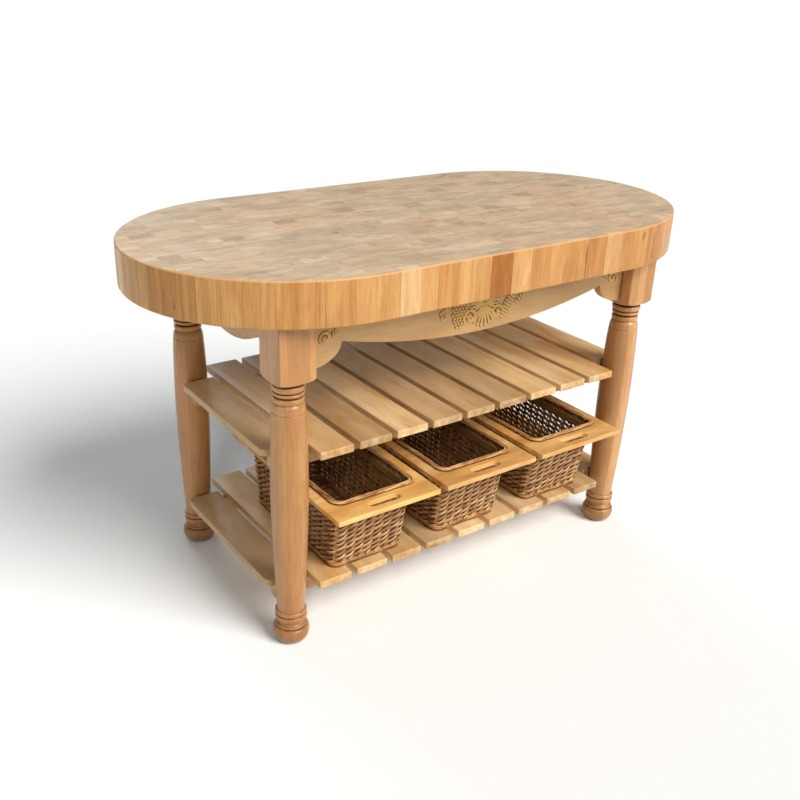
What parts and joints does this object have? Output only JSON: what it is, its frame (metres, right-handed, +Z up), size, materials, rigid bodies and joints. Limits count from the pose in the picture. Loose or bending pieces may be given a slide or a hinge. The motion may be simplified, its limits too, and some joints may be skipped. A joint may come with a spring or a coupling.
{
  "type": "butcher block table",
  "caption": "Oval end-grain butcher block table on turned legs with shaped aprons, slatted shelves and pull-out wicker baskets in wooden frames.",
  "frame": {"origin": "on the floor under the middle of the top", "axes": "+X along the table's length, +Y to its back, +Z up; the baskets pull out towards -Y"},
  "size_m": [1.524, 0.762, 0.9144],
  "materials": {
    "end_grain_maple": "oiled end-grain maple with a satin sheen",
    "turned_legs": "turned maple with a satin lacquer",
    "apron_maple": "satin lacquered maple with a gilt-toned carving",
    "shelf_maple": "satin lacquered maple slats",
    "frame_maple": "amber lacquered maple",
    "basket_lath": "bare split wood",
    "brace_wood": "sawn and sanded maple",
    "willow": "peeled and stained willow rods, slightly glossy",
    "zinc_hardware": "zinc plated",
    "brass_screws": "yellow zinc plated"
  },
  "bodies": {
    "table": {"end_grain_top": "end_grain_maple", "front_left_leg": "turned_legs", "front_right_leg": "turned_legs", "back_left_leg": "turned_legs", "back_right_leg": "turned_legs", "front_apron": "apron_maple", "back_apron": "apron_maple", "left_apron": "apron_maple", "right_apron": "apron_maple", "front_left_corner_brace": "brace_wood", "front_left_hanger_bolt": "zinc_hardware", "front_left_top_screw": "brass_screws", "front_right_corner_brace": "brace_wood", "front_right_hanger_bolt": "zinc_hardware", "front_right_top_screw": "brass_screws", "back_left_corner_brace": "brace_wood", "back_left_hanger_bolt": "zinc_hardware", "back_left_top_screw": "brass_screws", "back_right_corner_brace": "brace_wood", "back_right_hanger_bolt": "zinc_hardware", "back_right_top_screw": "brass_screws", "lower_shelf_slat_01": "shelf_maple", "lower_shelf_slat_02": "shelf_maple", "lower_shelf_slat_03": "shelf_maple", "lower_shelf_slat_04": "shelf_maple", "lower_shelf_slat_05": "shelf_maple", "lower_shelf_slat_06": "shelf_maple", "lower_shelf_slat_07": "shelf_maple", "lower_shelf_slat_08": "shelf_maple", "lower_shelf_slat_09": "shelf_maple", "lower_shelf_slat_10": "shelf_maple", "lower_shelf_slat_11": "shelf_maple", "lower_shelf_front_cleat": "shelf_maple", "lower_shelf_back_cleat": "shelf_maple", "upper_shelf_slat_01": "shelf_maple", "upper_shelf_slat_02": "shelf_maple", "upper_shelf_slat_03": "shelf_maple", "upper_shelf_slat_04": "shelf_maple", "upper_shelf_slat_05": "shelf_maple", "upper_shelf_slat_06": "shelf_maple", "upper_shelf_slat_07": "shelf_maple", "upper_shelf_slat_08": "shelf_maple", "upper_shelf_slat_09": "shelf_maple", "upper_shelf_slat_10": "shelf_maple", "upper_shelf_slat_11": "shelf_maple", "upper_shelf_front_cleat": "shelf_maple", "upper_shelf_back_cleat": "shelf_maple"},
    "basket_1": {"basket_frame_1": "frame_maple", "wicker_basket_1": "willow", "basket_1_left_lath": "basket_lath", "basket_1_right_lath": "basket_lath"},
    "basket_2": {"basket_frame_2": "frame_maple", "wicker_basket_2": "willow", "basket_2_left_lath": "basket_lath", "basket_2_right_lath": "basket_lath"},
    "basket_3": {"basket_frame_3": "frame_maple", "wicker_basket_3": "willow", "basket_3_left_lath": "basket_lath", "basket_3_right_lath": "basket_lath"}
  },
  "joints": [
    {"name": "basket_1_slide", "type": "slide", "parent": "table", "child": "basket_1", "axis": [0, -1, 0], "range_m": [-0.062, 0.2]},
    {"name": "basket_2_slide", "type": "slide", "parent": "table", "child": "basket_2", "axis": [0, -1, 0], "range_m": [-0.062, 0.2]},
    {"name": "basket_3_slide", "type": "slide", "parent": "table", "child": "basket_3", "axis": [0, -1, 0], "range_m": [-0.062, 0.2]}
  ]
}
